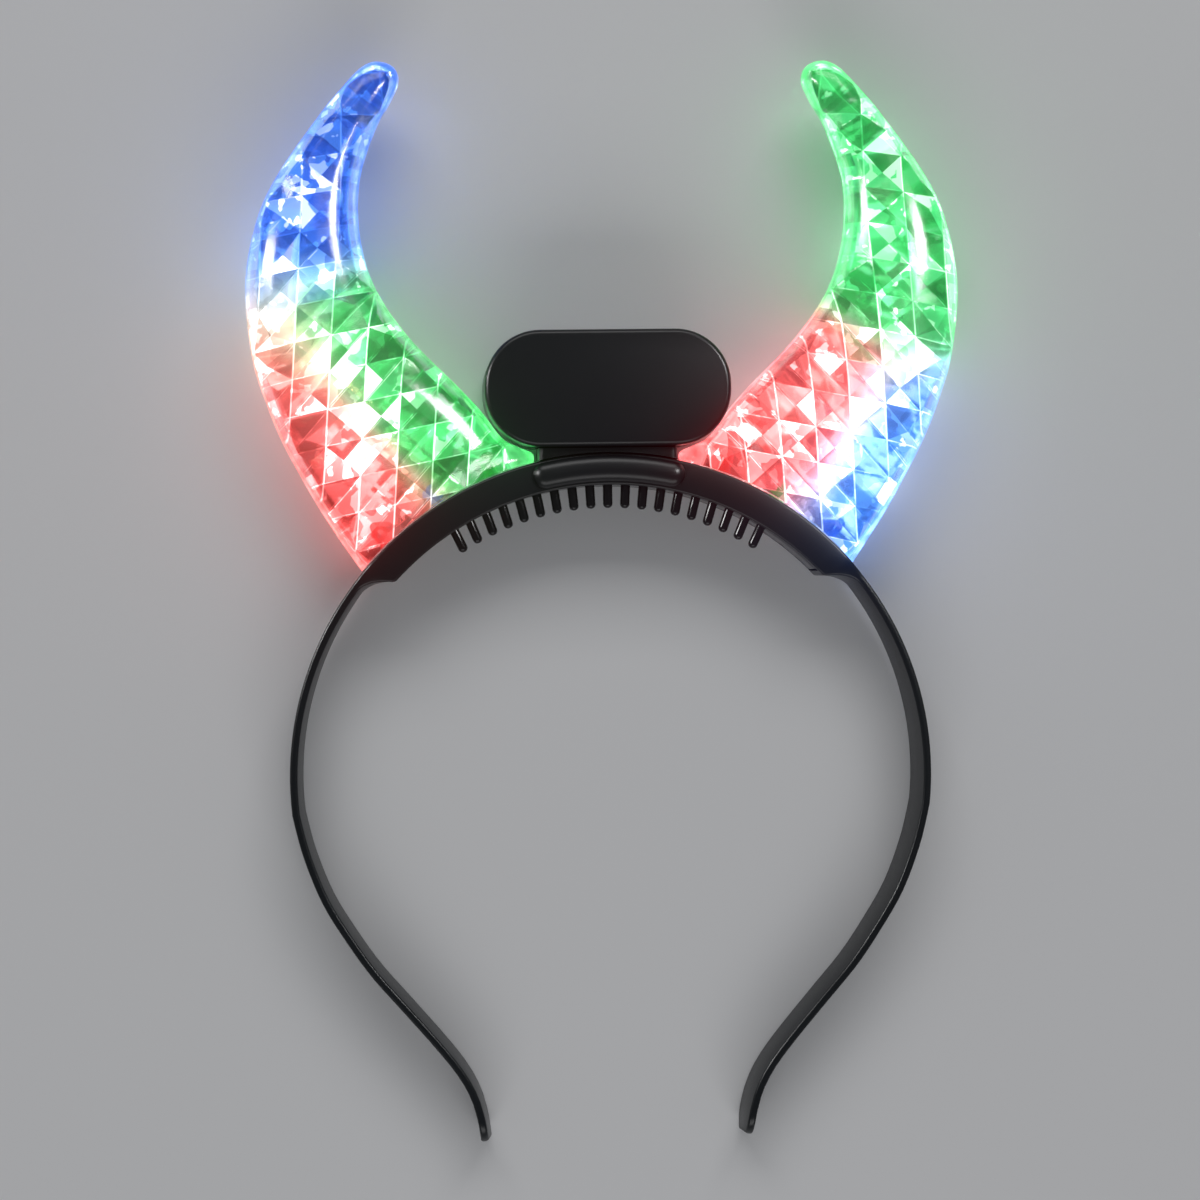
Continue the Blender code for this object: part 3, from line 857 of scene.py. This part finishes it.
def modelCavity():
    # The cavity's front and back are quilts of square pyramids, laid on the smooth cavity.
    smooth = drawOut("cavity", hornSections(horn["wall"], horn["cavityRows"],
                                            horn["cavityAround"], horn["cavitySink"]))
    startAfresh()
    cells = horn["cells"]
    bpy.ops.mesh.primitive_grid_add(x_subdivisions=cells, y_subdivisions=cells, size=cells)
    quilt = nameIt("pyramidQuilt")
    along, up = latticeSteps()
    skew = Matrix(((along.x, up.x, 0), (along.y, up.y, 0), (0, 0, 1))).to_4x4()
    start = Vector((*horn["latticeStart"], 0)) * mm
    above = horn["quiltLift"]
    quilt.data.transform(Matrix.Translation(start + Vector((0, 0, above))) @ skew)
    finishWith(quilt, "SHRINKWRAP", target=smooth, wrap_method="PROJECT", use_project_z=True,
               use_positive_direction=False, use_negative_direction=True)
    editOn(quilt)
    shape = bmesh.from_edit_mesh(quilt.data)
    least = horn["cavityLeast"]
    for corner in shape.verts:
        beside = corner.co.z > above - mm  # nothing of the cavity is under it
        if beside or corner.co.z < least:
            corner.co.z = least
        else:
            corner.co.z -= horn["pyramidInset"]
    bmesh.update_edit_mesh(quilt.data)
    pick("FACE", lambda middle, normal: middle.z > 1.01 * least)
    bpy.ops.mesh.poke(offset=-horn["pyramidHeight"])
    tipLeast = horn["tipLeast"] * least
    for corner in bmesh.from_edit_mesh(quilt.data).verts:
        corner.co.z = max(corner.co.z, tipLeast)
    bmesh.update_edit_mesh(quilt.data)
    pick("VERT", lambda co, _: True)
    bpy.ops.mesh.duplicate()
    bpy.ops.transform.resize(value=(1, 1, -1), center_override=(0, 0, 0))
    bpy.ops.mesh.select_all(action="DESELECT")
    bpy.ops.mesh.select_mode(type="EDGE")
    bpy.ops.mesh.select_non_manifold(extend=False, use_wire=False, use_boundary=True,
                                     use_multi_face=False, use_non_contiguous=False,
                                     use_verts=False)
    bpy.ops.mesh.bridge_edge_loops()
    normalsOutward()
    editOff()
    cut(smooth, quilt, "INTERSECT")
    return smooth


def markWalls(piece, index):
    # Two slots in both pieces keep the skin's and the cavity's faces apart when one is cut.
    for number in range(2):
        piece.data.materials.append(bpy.data.materials.new(f"mark{number}"))
    for face in piece.data.polygons:
        face.material_index = index


def modelHorn():
    sections = hornSections(0, horn["rows"], horn["around"], horn["sink"])
    body = drawOut("hornBody", sections)
    markWalls(body, 0)
    cavity = modelCavity()
    markWalls(cavity, 1)
    cut(body, crownCutter())
    cut(body, cavity)
    return body


def hornHalf(whole, name, way):
    half = copyOf(whole, name)
    seam = way * gap / 2
    editOn(half)
    pickAll()
    bpy.ops.mesh.bisect(plane_co=(0, 0, seam), plane_no=(0, 0, way), use_fill=True,
                        clear_inner=True, clear_outer=False)
    # the seam's own face can come out in either wall's slot, so it is put in the skin's
    pick("FACE", lambda middle, normal: abs(middle.z - seam) < near["section"])
    half.active_material_index = 0
    bpy.ops.object.material_slot_assign()
    editOff()
    return half


# The horns' light, painted on their walls as emission
glow = {
    "hues": {
        "left": {
            "red": (0.94, 0.16, 0.155), "green": (0.025, 0.66, 0.15), "blue": (0.02, 0.22, 0.88),
        },
        "right": {
            "red": (0.94, 0.17, 0.165), "green": (0.03, 0.68, 0.18), "blue": (0.10, 0.38, 0.94),
        },
    },
    "sharpness": 9.0,
    # where each colour is strongest, x and y in mm of the drawing
    "left": {"red": (-60.2, 60.7), "green": (-34.8, 82.5), "blue": (-56.0, 136.5)},
    "right": {"red": (38.0, 79.0), "green": (62.0, 110.0), "blue": (63.0, 62.0)},
    # places where the light is strongest: x, y and radius in mm, and how strong
    "hotSpots": {
        "left": (
            (-50.5, 73.5, 17, 1.0), (-56.0, 92.0, 8, 0.9), (-33.0, 69.0, 8, 0.2),
            (-67.0, 104.0, 6, 0.7), (-52.0, 60.0, 16, 0.35), (-66.0, 86.0, 16, 0.6),
            (-58.0, 118.0, 14, 0.1),
        ),
        "right": (
            (51.5, 74.0, 17, 1.15), (44.0, 60.0, 8, 0.9), (64.0, 88.0, 10, 0.6),
            (56.0, 54.0, 13, 1.0), (62.0, 66.0, 24, 0.85), (38.0, 72.0, 18, 0.3),
            (58.0, 124.0, 24, 0.45),
        ),
    },
    "spotEdge": (0.25, 1.3),  # of a spot's radius
    # a facet's own brightness: more where it faces a lamp, and chance
    "facing": 0.35,
    "chance": 0.85,
    "chanceCurve": 1.5,
    "lampHeight": 3.0 * mm,
}
# Four numbers are a ramp: from, to, and the values there.
facets = {
    "tone": (0.10, 0.90, 0.07, 0.92),  # by the facet's own brightness
    "patches": (0.25, 0.45, 0.55, 1.1),
    "largeSparkle": (0.86, 0.90, 0.0, 0.5),
    "smallSparkle": (0.90, 0.94, 0.0, 0.7),
    "sparkleByFacet": (0.2, 0.6, 0.3, 1.0),
    "lightPoolsByFacet": (0.35, 0.75, 0.12, 0.9),
    "highlightsByHeight": (92.0, 118.0, 1.0, 0.35),
    "hueByTone": (0.1, 0.75, 0.0, 1.0),
    "whiteByTone": (0.85, 1.75, 0.06, 0.92),
    "toneAtMeeting": 0.25,  # where two colours meet
    "whiteAtMeeting": 0.3,
    "strength": 0.94,
    # how strongly the clear wall takes the lamps' hue as its colour: painted lamp light
    "paintedLampTint": 0.45,
    "paler": (0.015, 0.015, 0.015),
    "largeScale": 260.0,
    "smallScale": 620.0,
    "bend": 1.2 * mm,  # of the patches' edges
    "roughness": 0.03,
}
# Painted highlights along the lattice: each kind's thin and thick width in shares of the pitch,
# and its strength as a ramp
lines = {
    "columns": (0.012, 0.034, (0.30, 0.48, 0.45, 1.0)),
    "rows": (0.008, 0.026, (0.42, 0.58, 0.1, 0.75)),
    "diagonalsAbove": (0.006, 0.022, (0.56, 0.46, 0.0, 0.8)),
    "diagonalsBelow": (0.006, 0.022, (0.50, 0.40, 0.0, 0.6)),
    "besideDiagonal": 0.045,
    "patchScale": 0.22,
}
skin = {
    "rim": (0.4, 4.5, 1.0, 0.0),  # painted glow near the seam, by the distance from the seam's plane, in mm
    "rimPatches": (0.35, 0.65, 0.35, 1.0),
    "rimStrength": 0.7,
    "rimWhite": 0.2,
    "paintedTintFade": (1.0, 6.5, 0.25, 1.0),
    "roughness": 0.17,
    "rippleScale": 90.0,
    "rippleStrength": 0.06,
    "rippleDepth": 0.3 * mm,
}
clearIOR = 1.49


def drawingPlace(tree):
    # Object coordinates, the point's x and y in the drawing, and its height in front of the
    # seam's plane, the last two in mm
    place = objectPlace(tree)
    back = rest.inverted()
    shifted = calculateVector(tree, "SUBTRACT", place, tuple(rest.translation))
    axes = []
    for row in range(3):
        direction = 1000 * Vector(back[row][:3])
        axes.append(calculateVector(tree, "DOT_PRODUCT", shifted, tuple(direction)))
    flat = addNode(tree, "ShaderNodeCombineXYZ", (axes[0], axes[1], 0.0)).outputs[0]
    return place, flat, axes[2]


def hueAlongHorn(tree, flat, side):
    # Goes over from lamp colour to lamp colour; the second value is high where two meet.
    weighted = []
    weights = []
    for colour, (x, y) in glow[side].items():
        distance = calculateVector(tree, "DISTANCE", flat, (x, y, 0))
        scaled = calculate(tree, "MULTIPLY", distance, 0.02)  # keeps the powers small
        weight = calculate(tree, "POWER", scaled, -glow["sharpness"])
        weights.append(weight)
        weighted.append(calculateVector(tree, "SCALE", glow["hues"][side][colour], weight))
    total = chain(tree, "ADD", weights)
    mixed = chain(tree, "ADD", weighted, calculateVector)
    hue = calculateVector(tree, "SCALE", mixed, calculate(tree, "DIVIDE", 1.0, total))
    strongest = calculate(tree, "DIVIDE", chain(tree, "MAXIMUM", weights), total)
    return hue, between(tree, strongest, 1.0, 0.45)


def lightPoolsAlongHorn(tree, flat, side):
    # Painted pools of lamp light, brightest at each hot spot's middle
    inner, outer = glow["spotEdge"]
    spots = []
    for x, y, radius, strength in glow["hotSpots"][side]:
        distance = calculateVector(tree, "DISTANCE", flat, (x, y, 0))
        spots.append(between(tree, distance, inner * radius, outer * radius, strength, 0.0,
                             smooth=True))
    return chain(tree, "MAXIMUM", spots)


def latticeHighlights(tree, flat, side):
    # Painted highlights: bright lines along the valleys between the pyramids and on both sides of
    # one diagonal
    start = (sides[side] * horn["latticeStart"][0], horn["latticeStart"][1], 0)
    shifted = calculateVector(tree, "SUBTRACT", flat, start)
    column, row = (calculateVector(tree, "DOT_PRODUCT", shifted, (*(mm * step), 0))
                   for step in toLattice(side))
    broken = noise(tree, flat, lines["patchScale"], 2.0)
    diagonal = calculate(tree, "ADD", column, row)
    counts = {
        "columns": column,
        "rows": row,
        "diagonalsAbove": calculate(tree, "ADD", diagonal, lines["besideDiagonal"]),
        "diagonalsBelow": calculate(tree, "ADD", diagonal, -lines["besideDiagonal"]),
    }
    found = []
    for name, count in counts.items():
        thin, thick, strength = lines[name]
        away = calculate(tree, "PINGPONG", count, 0.5)
        line = between(tree, away, thin, thick, 1.0, 0.0)
        found.append(calculate(tree, "MULTIPLY", line, between(tree, broken, *strength)))
    return chain(tree, "MAXIMUM", found)


def shardsOfLight(tree, place, scale, seed):
    # Light that comes through other facets shows as angular patches, each with its own value.
    moved = calculateVector(tree, "ADD", place, (seed, 0.5 * seed, 0.0))
    twist = noise(tree, moved, 260.0, 1.0, "Color")
    shift = calculateVector(tree, "SCALE", twist, facets["bend"])
    bent = calculateVector(tree, "ADD", moved, shift)
    shards = addNode(tree, "ShaderNodeTexVoronoi", distance="MANHATTAN")
    setInputs(tree, shards, {"Vector": bent, "Scale": scale})
    return addNode(tree, "ShaderNodeSeparateColor", (shards.outputs["Color"],)).outputs[0]


def litFacets(name, side):
    # The cavity's wall: clear pyramids that catch the lamps' light, painted on as emission. Each
    # facet has its own brightness, kept in the attribute facetLight.
    material, tree, shader = newMaterial(name)
    place, flat, _ = drawingPlace(tree)
    hue, meeting = hueAlongHorn(tree, flat, side)
    facet = addNode(tree, "ShaderNodeAttribute", attribute_name="facetLight").outputs["Fac"]
    large = shardsOfLight(tree, place, facets["largeScale"], 0.0)
    small = shardsOfLight(tree, place, facets["smallScale"], 0.3)
    upward = addNode(tree, "ShaderNodeSeparateXYZ", (flat,)).outputs[1]

    def ramp(key, value):
        return between(tree, value, *facets[key])

    def times(a, b):
        return calculate(tree, "MULTIPLY", a, b)

    sparkle = calculate(tree, "ADD", ramp("largeSparkle", large), ramp("smallSparkle", small))
    tone = chain(tree, "ADD", (
        times(ramp("tone", facet), ramp("patches", large)),
        times(sparkle, ramp("sparkleByFacet", facet)),
        times(lightPoolsAlongHorn(tree, flat, side), ramp("lightPoolsByFacet", facet)),
        times(meeting, facets["toneAtMeeting"]),
        times(latticeHighlights(tree, flat, side), ramp("highlightsByHeight", upward)),
    ))

    # Dim facets are deeper in colour, bright ones go over to white.
    deep = calculateVector(tree, "MULTIPLY", hue, hue)
    colour = mixColours(tree, ramp("hueByTone", tone), deep, hue)
    white = calculate(tree, "ADD", ramp("whiteByTone", tone),
                      times(meeting, facets["whiteAtMeeting"]))
    # Painted lamp light: the clear wall's own colour takes the lamps' hue
    paintedLampTint = calculateVector(tree, "SCALE", hue, facets["paintedLampTint"])
    setInputs(tree, shader, {
        "Base Color": calculateVector(tree, "ADD", paintedLampTint, facets["paler"]),
        "Emission Color": whiten(tree, colour, white),
        "Emission Strength": times(tone, facets["strength"]),
        "Transmission Weight": 1.0,
        "Roughness": facets["roughness"],
        "IOR": clearIOR,
    })
    return material


def clearPlastic(name, side):
    # The outer skin is clear and glossy, and near the seam it carries the lamps' light all round
    # the horn, painted on as a glow and as colour.
    material, tree, shader = newMaterial(name)
    place, flat, height = drawingPlace(tree)
    hue = hueAlongHorn(tree, flat, side)[0]
    uneven = noise(tree, flat, 0.35, 3.0)
    toSeam = calculate(tree, "ABSOLUTE", height)
    # Painted glow of the lamps' light near the seam, in uneven patches
    rim = calculate(tree, "MULTIPLY", between(tree, toSeam, *skin["rim"], smooth=True),
                    between(tree, uneven, *skin["rimPatches"]))
    rimWhite = calculate(tree, "MULTIPLY", rim, skin["rimWhite"])
    # Painted lamp light: near the seam the clear skin's colour takes the lamps' hue
    paintedTintFade = between(tree, toSeam, *skin["paintedTintFade"], smooth=True)
    ripple = noise(tree, place, skin["rippleScale"], 2.0)
    setInputs(tree, shader, {
        "Base Color": whiten(tree, hue, paintedTintFade),
        "Emission Color": whiten(tree, hue, rimWhite),
        "Emission Strength": calculate(tree, "MULTIPLY", rim, skin["rimStrength"]),
        "Transmission Weight": 1.0,
        "Roughness": skin["roughness"],
        "IOR": clearIOR,
        "Normal": bump(tree, ripple, skin["rippleStrength"], skin["rippleDepth"]),
    })
    return material


def shareLight(piece, side):
    # Gives each side of each pyramid its brightness: high where it faces a lamp, with some
    # chance. Chance goes by the place in the lattice, because the faces' order can vary.
    lampRadius = horn["footRadius"] + glow["lampHeight"]
    lamps = [Vector((*onArc(lampRadius, sides[side] * angle), 0))
             for angle in lamp["angles"].values()]
    along, up = latticeSteps(side)
    start = Vector((sides[side] * horn["latticeStart"][0], horn["latticeStart"][1])) * mm
    spread = toLattice(side)
    brightness = piece.data.attributes.new("facetLight", "FLOAT", "FACE")
    for number, face in enumerate(piece.data.polygons):
        if face.material_index == 0:
            continue
        column, row = spread @ (face.center.xy - start)
        i = math.floor(column)
        j = math.floor(row)
        u = column - i - 0.5
        v = row - j - 0.5
        facet = f"{side} {i} {j} {u > v} {u > -v} {face.center.z > 0}"
        chance = random.Random(facet).random() ** glow["chanceCurve"]
        pyramid = Vector((*(start + (i + 0.5) * along + (j + 0.5) * up), 0))
        ways = [place - pyramid for place in lamps]
        toLamp = min(ways, key=lambda way: way.length).normalized()
        facing = abs(face.normal.dot(toLamp))
        own = glow["facing"] * facing + glow["chance"] * chance
        brightness.data[number].value = min(1.0, own)


def modelHorns():
    whole = modelHorn()
    print("horn body done", len(whole.data.polygons), "faces")
    for side in sides:
        clear = clearPlastic(f"{side}HornPlastic", side)
        wall = litFacets(f"{side}HornFacets", side)
        for halfName, way in (("Front", 1), ("Back", -1)):
            half = hornHalf(whole, f"{side}Horn{halfName}Shell", way)
            if side == "left":
                mirrorPiece(half)
            shadeByAngle(half, horn["smoothAngle"])
            shareLight(half, side)
            node = f"{side}_horn_{halfName.lower()}_shell"
            finishPiece(half, node, [clear, wall])
    bpy.data.objects.remove(whole, do_unlink=True)
    print("horns done")


# Lamps
lamp = {
    "angles": {"outer": 43.0, "middle": 32.0, "inner": 21.0},
    "slots": {
        "left": {"outer": "red_lamp", "middle": "blue_lamp", "inner": "green_lamp"},
        "right": {"outer": "blue_lamp", "middle": "green_lamp", "inner": "red_lamp"},
    },
    "radius": 1.5 * mm,
    "flangeRadius": 1.9 * mm,
    "flangeHeight": 0.8 * mm,
    "height": 4.9 * mm,
    "sides": 24,
    "tipRounding": 0.97,
    "smoothAngle": 40,
    "mottleScale": 900.0,
    "dimmest": 0.12,
    "brightest": 0.35,
}


def lampLens(name, colour):
    material, tree, shader = newMaterial(name)
    mottle = noise(tree, objectPlace(tree), lamp["mottleScale"], 2.0)
    shine = between(tree, mottle, 0.3, 0.7, lamp["dimmest"], lamp["brightest"])
    setInputs(tree, shader, {
        "Base Color": (*colour, 1),
        "Transmission Weight": 0.5,
        "Roughness": 0.12,
        "Emission Color": (*colour, 1),
        "Emission Strength": shine,
    })
    return material


def modelLamps():
    startAfresh()
    bpy.ops.mesh.primitive_cylinder_add(vertices=lamp["sides"], radius=lamp["flangeRadius"],
                                        depth=lamp["flangeHeight"],
                                        location=(0, 0, lamp["flangeHeight"] / 2))
    pattern = nameIt("lampPattern")
    applyPlace(pattern)
    editOn(pattern)
    pick("FACE", lambda middle, normal: normal.z > 0.9)
    bpy.ops.mesh.inset(thickness=lamp["flangeRadius"] - lamp["radius"])
    extrudeBy(0, 0, lamp["height"] - lamp["flangeHeight"])
    bpy.ops.mesh.region_to_loop()
    bpy.ops.mesh.bevel(offset=lamp["tipRounding"] * lamp["radius"], segments=6, affect="EDGES")
    editOff()
    hues = glow["hues"]["left"]
    lenses = {f"{name}_lamp": lampLens(f"{name}LampLens", hue) for name, hue in hues.items()}
    for side, way in sides.items():
        for place, angle in lamp["angles"].items():
            one = copyOf(pattern, f"{side}Lamp{place.capitalize()}")
            foot = onArc(horn["footRadius"], way * angle)
            one.rotation_euler = (math.radians(-90), 0, -math.radians(way * angle))
            one.location = (foot.x, foot.y, 0)
            applyPlace(one)
            shadeByAngle(one, lamp["smoothAngle"])
            slotName = lamp["slots"][side][place]
            finishPiece(one, f"{side}_lamp_{place}", [lenses[slotName]])
    bpy.data.objects.remove(pattern, do_unlink=True)
    print("lamps done")


# Stage, light and camera
floorColour = (0.80, 0.80, 0.81, 1)


def addFloor():
    startAfresh()
    bpy.ops.mesh.primitive_plane_add(size=16, location=(0, 0, 0))
    floor = nameIt("floor")
    material, tree, shader = newMaterial("paleFloor")
    setInputs(tree, shader, {
        "Base Color": floorColour,
        "Roughness": 0.9,
        "Specular IOR Level": 0.2,
    })
    floor.data.materials.append(material)


light = {
    "world": 0.12,
    "worldColour": (0.9, 0.94, 1.0, 1),
    "aim": (0, 0.02, 0.01),
    "bloom": {"Threshold": 0.75, "Strength": 0.22, "Saturation": 1.6, "Size": 0.4},
    "areas": {
        "top": {"place": (0.0, 1.0, 0.75), "size": (1.3, 0.5), "power": 6.6},
        "bottom": {"place": (0.0, -1.0, 0.65), "size": (1.3, 0.5), "power": 4.2},
        # the strips only show as streaks of reflection on the gloss
        "leftStrip": {"place": (-0.42, 0.16, 0.25), "size": (0.09, 0.20), "power": 1.7},
        "rightStrip": {"place": (0.26, 0.16, 0.35), "size": (0.085, 0.12), "power": 1.1},
    },
}


def addAreaLight(name, place, size, power):
    data = bpy.data.lights.new(name, "AREA")
    data.shape = "RECTANGLE"
    data.size, data.size_y = size
    data.energy = power
    item = bpy.data.objects.new(name, data)
    bpy.context.scene.collection.objects.link(item)
    item.location = place
    way = Vector(light["aim"]) - Vector(place)
    item.rotation_euler = way.to_track_quat("-Z", "Y").to_euler()
    item.visible_diffuse = not name.endswith("Strip")


def addBloom():
    # The lit horns bloom a little over their edges.
    scene = bpy.context.scene
    scene.use_nodes = True
    tree = scene.node_tree
    tree.nodes.clear()
    layers = tree.nodes.new("CompositorNodeRLayers")
    glare = tree.nodes.new("CompositorNodeGlare")
    glare.glare_type = "BLOOM"
    setInputs(tree, glare, light["bloom"])
    shown = tree.nodes.new("CompositorNodeComposite")
    tree.links.new(layers.outputs["Image"], glare.inputs["Image"])
    tree.links.new(glare.outputs["Image"], shown.inputs["Image"])


def addLights():
    world = bpy.data.worlds.new("studio")
    bpy.context.scene.world = world
    world.use_nodes = True
    background = world.node_tree.nodes["Background"]
    background.inputs["Color"].default_value = light["worldColour"]
    background.inputs["Strength"].default_value = light["world"]
    for name, values in light["areas"].items():
        addAreaLight(name, **values)
    bpy.context.scene.view_settings.view_transform = "Standard"
    addBloom()


camera = {
    "distance": 600 * mm,
    "over": (-44.9, 42.0),  # the point of the drawing that it stands over, mm
    "aim": (-1.8, 36.6),
    "roll": 0.87,
    "lens": 85.65,
}


def addCamera():
    data = bpy.data.cameras.new("photoCamera")
    data.lens = camera["lens"]
    data.sensor_width = 36
    data.clip_start = 0.01
    item = bpy.data.objects.new("photoCamera", data)
    bpy.context.scene.collection.objects.link(item)
    overX, overY = camera["over"]
    aimX, aimY = camera["aim"]
    place = rest @ Vector((overX * mm, overY * mm, camera["distance"]))
    aim = rest @ Vector((aimX * mm, aimY * mm, 0))
    back = (place - aim).normalized()
    roll = math.radians(camera["roll"])
    up = rest.to_3x3() @ Vector((math.sin(roll), math.cos(roll), 0))
    right = up.cross(back).normalized()
    up = back.cross(right)
    turn = Matrix((right, up, back)).transposed().to_4x4()
    item.matrix_world = Matrix.Translation(place) @ turn
    bpy.context.scene.camera = item


edge = bandPath()
path = drawPath("bandPath", edge)
modelBand(path, lengthsAlong(edge)[-1])
modelComb(path)
bpy.data.objects.remove(path, do_unlink=True)
modelCase()
modelHorns()
modelLamps()
addFloor()
addLights()
addCamera()
